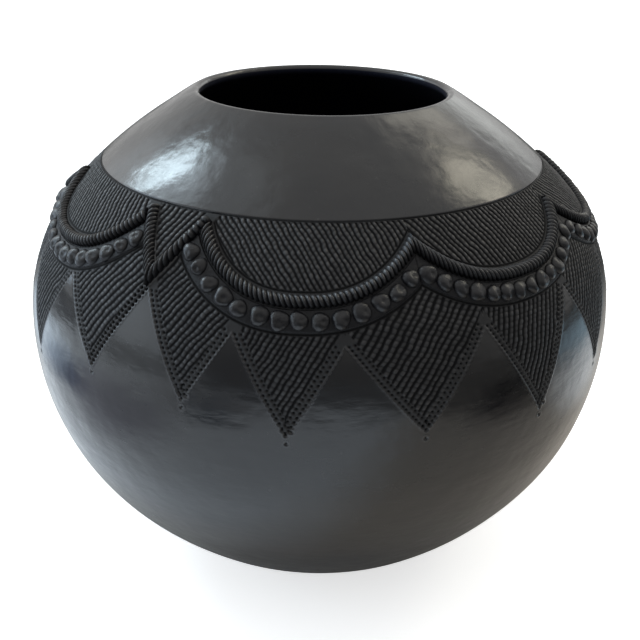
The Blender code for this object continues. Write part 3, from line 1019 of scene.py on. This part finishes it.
def burnish(clay):
    """Colour, roughness and normal of hand-burnished, smoke-blackened clay."""
    place = clay.place()
    strokes = clay.noise(clay.strokes(place, 7.0, 150.0), 1.0, 3.0, 0.55)
    fine = clay.noise(clay.strokes(place, 60.0, 520.0), 1.0, 3.0, 0.6)
    patches = clay.noise(place, 16.0, 3.0, 0.55)
    hammer = clay.noise(place, 62.0, 2.0, 0.5)
    grain = clay.noise(place, 1500.0, 2.0, 0.6)
    pores = clay.noise(place, 420.0, 2.0, 0.5)

    tint = clay.mix(clay.stretch(patches, 0.35, 0.65), *BURNISHED)
    smoke = clay.math("MULTIPLY", clay.stretch(clay.split(place)[2], 0.12, 0.015), 0.55)
    smoke = clay.math("MULTIPLY", smoke, clay.stretch(patches, 0.3, 0.6))
    tint = clay.mix(smoke, tint, SMOKE)
    tint = clay.mix(clay.stretch(pores, 0.70, 0.78, 0.0, 0.4), tint, PORES)

    rough = clay.stretch(strokes, 0.3, 0.7, 0.15, 0.23)
    rough = clay.math("ADD", rough, clay.stretch(patches, 0.3, 0.7, -0.02, 0.05))
    rough = clay.math("ADD", rough, clay.stretch(grain, 0.3, 0.7, -0.03, 0.03))

    normal = None
    for marks, depth in ((hammer, 0.00050), (strokes, 0.00022), (fine, 0.00003), (grain, 0.000006)):
        normal = clay.bump(marks, depth, normal)
    return tint, rough, normal


def burnished_clay():
    """The plain burnished wall."""
    clay = Shader("burnished_clay")
    tint, rough, normal = burnish(clay)
    return clay.finish(tint, rough, Normal=normal)


def dusted(clay, place, scale, tint):
    """A tint with pale dust in patches."""
    dust = clay.noise(place, scale, 3.0, 0.6)
    return clay.mix(clay.stretch(dust, 0.55, 0.8, 0.0, 0.3), tint, DUST)


def tooled_clay():
    """Burnished wall with fields of grains, polished on their tops, with painted shade in the
    grooves, pits and lines.
    """
    clay = Shader("tooled_clay")
    tint, rough, normal = burnish(clay)
    place = clay.place()
    tooled, polish_and_painted_shade = clay.value("tooled"), clay.value("polish_and_painted_shade")
    # Painted shade: the cut clay is darker and less shiny in grooves and pits.
    cut = dusted(clay, place, 260.0, clay.mix(clay.stretch(polish_and_painted_shade, 0.25, 1.0), *CUT_GROOVE_SHADE_TO_TOPS))
    cut_rough = clay.stretch(polish_and_painted_shade, 0.3, 1.0, 0.75, 0.42)
    cut_shine = clay.stretch(polish_and_painted_shade, 0.2, 0.9, 0.12, 0.68)
    cut_normal = clay.bump(clay.noise(place, 1400.0, 3.0, 0.6), 0.00005)
    # Painted shade: the burnished wall takes a dark line colour in the lines.
    tint = clay.mix(clay.stretch(polish_and_painted_shade, 0.2, 0.9), LINE_SHADE, tint)
    return clay.finish(
        clay.mix(tooled, tint, cut),
        clay.mix(tooled, rough, cut_rough, "FLOAT"),
        Specular_IOR_Level=clay.mix(tooled, 0.5, cut_shine, "FLOAT"),
        Normal=clay.mix(tooled, normal, cut_normal, "VECTOR"),
    )


def applied_clay(name, crests, rough_low, rough_high, most_shine):
    """Unburnished clay of the applied cords and pellets, worn shiny on its crests, with painted
    shade: near black in the hollows, on the cords' lower sides and at the pellets' feet.
    """
    clay = Shader(name)
    place, wear_and_painted_shade = clay.place(), clay.value("polish_and_painted_shade")
    grain = clay.noise(place, 1300.0, 3.0, 0.6)
    rough = clay.stretch(wear_and_painted_shade, 0.0, 1.0, rough_low, rough_high)
    rough = clay.math("ADD", rough, clay.stretch(grain, 0.3, 0.7, -0.04, 0.04))
    normal = clay.bump(clay.noise(place, 520.0, 2.0, 0.5), 0.00028)
    # Painted shade: the colour runs from the near-black hollow shade up to the crests' colour, and
    # the shine falls with it.
    return clay.finish(
        dusted(clay, place, 300.0, clay.mix(wear_and_painted_shade, HOLLOW_SHADE, crests)),
        rough,
        Specular_IOR_Level=clay.stretch(wear_and_painted_shade, 0.0, 0.7, 0.06, most_shine),
        Normal=clay.bump(grain, 0.00004, normal),
    )


def sooty_clay():
    """The unburnished, sooty inside."""
    clay = Shader("sooty_clay")
    place = clay.place()
    soot = clay.noise(place, 22.0, 3.0, 0.6)
    grain = clay.noise(place, 900.0, 3.0, 0.6)
    return clay.finish(
        clay.mix(clay.stretch(soot, 0.3, 0.7), *SOOT),
        clay.stretch(grain, 0.3, 0.7, 0.72, 0.92),
        Specular_IOR_Level=0.18,
        Normal=clay.bump(grain, 0.00006),
    )


# ---- Stage

WINDOW_FACING = (math.radians(-122.0), math.radians(40.5))
WINDOW_DISTANCE = 2.0
WINDOW_SIZE = (0.27, 0.66)
WINDOW_POWER = 8.5
WINDOW_TINT = (0.72, 0.90, 1.0)
POT_MIDDLE = (0.0, 0.0, 0.15)
# Soft patches of the surround: middle and half size, as azimuth and elevation, and light.
PATCHES = (
    ((-68.0, 4.0), (17.0, 30.0), (1.2, 1.38, 1.55)),
    ((-100.0, 18.0), (20.0, 16.0), (2.1, 2.8, 3.5)),
    ((-114.0, 46.0), (15.0, 13.0), (2.3, 2.7, 3.0)),
    ((-124.0, 21.0), (24.0, 13.0), (0.8, 0.85, 0.9)),
    ((-100.0, 64.0), (34.0, 15.0), (0.55, 0.62, 0.66)),
    ((120.5, 40.0), (10.5, 12.0), (4.8, 4.5, 3.6)),
    ((142.0, 46.0), (9.5, 17.0), (2.0, 1.9, 1.6)),
    ((152.0, 18.0), (11.0, 12.0), (1.0, 1.04, 1.0)),
)
# Soft pools on the floor: place, radius, and the light that each adds or takes away.
POOLS = (
    ((-0.54, 0.22), 0.24, (0.65, 0.85, 1.05)),
    ((-0.44, 0.05), 0.13, (-0.9, -0.95, -0.9)),
    ((-0.40, -0.16), 0.20, (-0.65, -0.75, -0.75)),
    ((-0.42, -0.58), 0.29, (-0.62, -0.72, -0.8)),
    ((-0.35, -0.50), 0.14, (-0.55, -0.55, -0.55)),
    ((0.44, -0.21), 0.18, (-0.46, -0.44, -0.40)),
    ((0.40, 0.05), 0.15, (0.75, 0.85, 0.95)),
    ((0.75, 0.18), 0.34, (0.6, 0.92, 1.15)),
)
DIM_TABLE = (0.35, 0.31, 0.26)
BRIGHT_TABLE = (0.68, 0.80, 0.94)
FLOOR_RADIUS = 6.0
FLOOR_SIDES = 96
CAMERA_PLACE = (0.0, -0.4276, 0.3265)
CAMERA_DROP = 25.55


def window_light():
    """The tall window, as a rectangular soft light aimed at the pot."""
    light = bpy.data.lights.new("window", "AREA")
    light.shape = "RECTANGLE"
    light.size, light.size_y = WINDOW_SIZE
    light.energy = WINDOW_POWER
    light.color = WINDOW_TINT
    lamp = add_object("window", light)
    a, e = WINDOW_FACING
    away = Vector((math.sin(a) * math.cos(e), -math.cos(a) * math.cos(e), math.sin(e)))
    lamp.location = Vector(POT_MIDDLE) + away * WINDOW_DISTANCE
    lamp.rotation_euler = away.to_track_quat("Z", "Y").to_euler()


def surround(world):
    """Lights the pot from all round, and is plain white to the camera.

    The side of the viewer is dark, the sky is pale, and there are soft bright patches.
    """
    nodes = Nodes(world.node_tree)
    x, y, z = nodes.split(nodes.add("ShaderNodeTexCoord").outputs["Generated"])
    azimuth = nodes.math("ARCTAN2", x, nodes.math("MULTIPLY", y, -1.0))
    facing = (azimuth, nodes.math("ARCSINE", z))
    level = nodes.stretch(y, -0.8, 0.4, 0.19, 0.85)
    grey = nodes.mix(nodes.stretch(z, 0.2, 0.92), level, 0.82, "FLOAT")
    light = nodes.scaled((1.0, 0.995, 0.985), grey)
    for middle, half_size, strength in PATCHES:
        share = 1.0
        for angle, centre, half in zip(facing, middle, half_size):
            away = nodes.math("ABSOLUTE", nodes.math("SUBTRACT", angle, math.radians(centre)))
            side = nodes.stretch(away, math.radians(half), math.radians(0.55 * half))
            share = nodes.math("MULTIPLY", side, share)
        light = nodes.vector("ADD", light, nodes.scaled(strength, share))
    background = world.node_tree.nodes["Background"]
    nodes.feed(background.inputs[0], nodes.mix(nodes.path("Is Camera Ray"), light, WHITE))


def pale_floor():
    """A wide pale floor.

    The pot sees it glow as a table with painted light: brighter on the left and darker far out and
    behind, with pools of painted light and shade, a painted shadow edge and a painted shadow round
    the pot.
    """
    nodes = Shader("pale_floor")
    place = nodes.place()
    seen, mirrored = nodes.path("Is Camera Ray"), nodes.path("Is Glossy Ray")
    # Painted light on the table: brighter near the left, darker far out and behind.
    from_left = nodes.vector("DISTANCE", place, (-0.45, 0.1, 0.0))
    table = nodes.stretch(from_left, 0.80, 1.05, 1.0, 0.12)
    behind = nodes.stretch(nodes.split(place)[1], 0.12, 0.40, 1.0, 0.3)
    table = nodes.math("MULTIPLY", table, behind)
    # Painted shadow edge: the table is dimmer beyond this line.
    towards_dim = nodes.vector("DOT_PRODUCT", place, (0.79, 0.61, 0.0))
    in_light = nodes.stretch(towards_dim, -0.07, -0.16)
    glow = nodes.scaled(nodes.mix(in_light, DIM_TABLE, BRIGHT_TABLE), table)
    for middle, radius, light in POOLS:
        near = nodes.stretch(nodes.vector("DISTANCE", place, (*middle, 0.0)), radius, 0.5 * radius)
        glow = nodes.vector("ADD", glow, nodes.scaled(light, near))
    glow = nodes.scaled(glow, nodes.stretch(mirrored, 0.0, 1.0, 0.1, 1.0))
    from_pot = nodes.vector("LENGTH", place)
    # Painted shadow round the pot: the glow fades close to it.
    glow = nodes.scaled(glow, nodes.stretch(from_pot, 0.11, 0.19, 0.02, 1.0))
    # Painted shade in the bounced colour: dimmer on the table's shadowed side.
    bounced = nodes.math("MULTIPLY", table, nodes.stretch(in_light, 0.0, 1.0, 0.64, 0.92))
    bounce = nodes.scaled((0.62, 0.61, 0.59), bounced)
    speckle = nodes.noise(place, 40.0, 3.0, 0.5)
    tint = nodes.mix(speckle, (0.90, 0.90, 0.90), (0.93, 0.93, 0.93))
    material = nodes.finish(
        nodes.mix(seen, bounce, tint),
        0.85,
        Emission_Color=nodes.mix(seen, glow, (0.62, 0.62, 0.62)),
        Emission_Strength=1.0,
    )

    around = np.linspace(0.0, FULL_TURN, FLOOR_SIDES, endpoint=False)
    ring = [(FLOOR_RADIUS * math.sin(a), -FLOOR_RADIUS * math.cos(a), 0.0) for a in around]
    mesh = bpy.data.meshes.new("floor")
    mesh.from_pydata(ring, [], [tuple(range(FLOOR_SIDES))])
    mesh.materials.append(material)
    add_object("floor", mesh)


def stage():
    """A pale floor, a plain pale surround, soft light and the camera."""
    scene = bpy.context.scene
    scene.view_settings.view_transform = "Standard"
    world = bpy.data.worlds.new("studio")
    scene.world = world
    world.use_nodes = True
    surround(world)
    pale_floor()
    window_light()

    camera_data = bpy.data.cameras.new("camera")
    camera_data.lens = 48.0
    camera_data.shift_x = 0.001
    camera = add_object("camera", camera_data)
    camera.location = CAMERA_PLACE
    camera.rotation_euler = (math.radians(90.0 - CAMERA_DROP), 0.0, 0.0)
    scene.camera = camera


def build():
    """Builds the visible pot."""
    wall = (burnished_clay(), sooty_clay())
    rim(wall)
    plain_wall("shoulder", "shoulder_wall", RIM_END, SHOULDER_END, wall)
    tooled_band((tooled_clay(), wall[1]))
    plain_wall("lower_body", "lower_wall", BAND_END, LOWER_WALL_END, wall)
    base(wall)

    cord = applied_clay("cord_clay", CORD_CRESTS, 0.75, 0.31, 0.55)
    knob = applied_clay("pellet_clay", PELLET_CRESTS, 0.7, 0.28, 0.46)
    for group, place in enumerate(("front", "back")):
        for side, side_name, lay in GUSSET_CORDS:
            twisted_cord(
                f"gusset_twist_{place}_{side_name}", f"gusset_cord_{place}_{side_name}",
                GussetCord(GUSSET_MIDDLE + group * math.pi, side), GUSSET_CORD_SIZE, lay, 1,
                305 + 5 * side + group, cord,
            )
        for index in range(SWAGS_IN_GROUP):
            swag = Swag(group, index)
            twisted_cord(
                f"swag_twist_{swag.number}", f"swag_cord_{swag.number}", swag, CORD_SIZE,
                CORD_LAY, CORD_STRANDS, 200 + swag.number, cord,
            )
            pellet_row(swag, knob)


build()
stage()
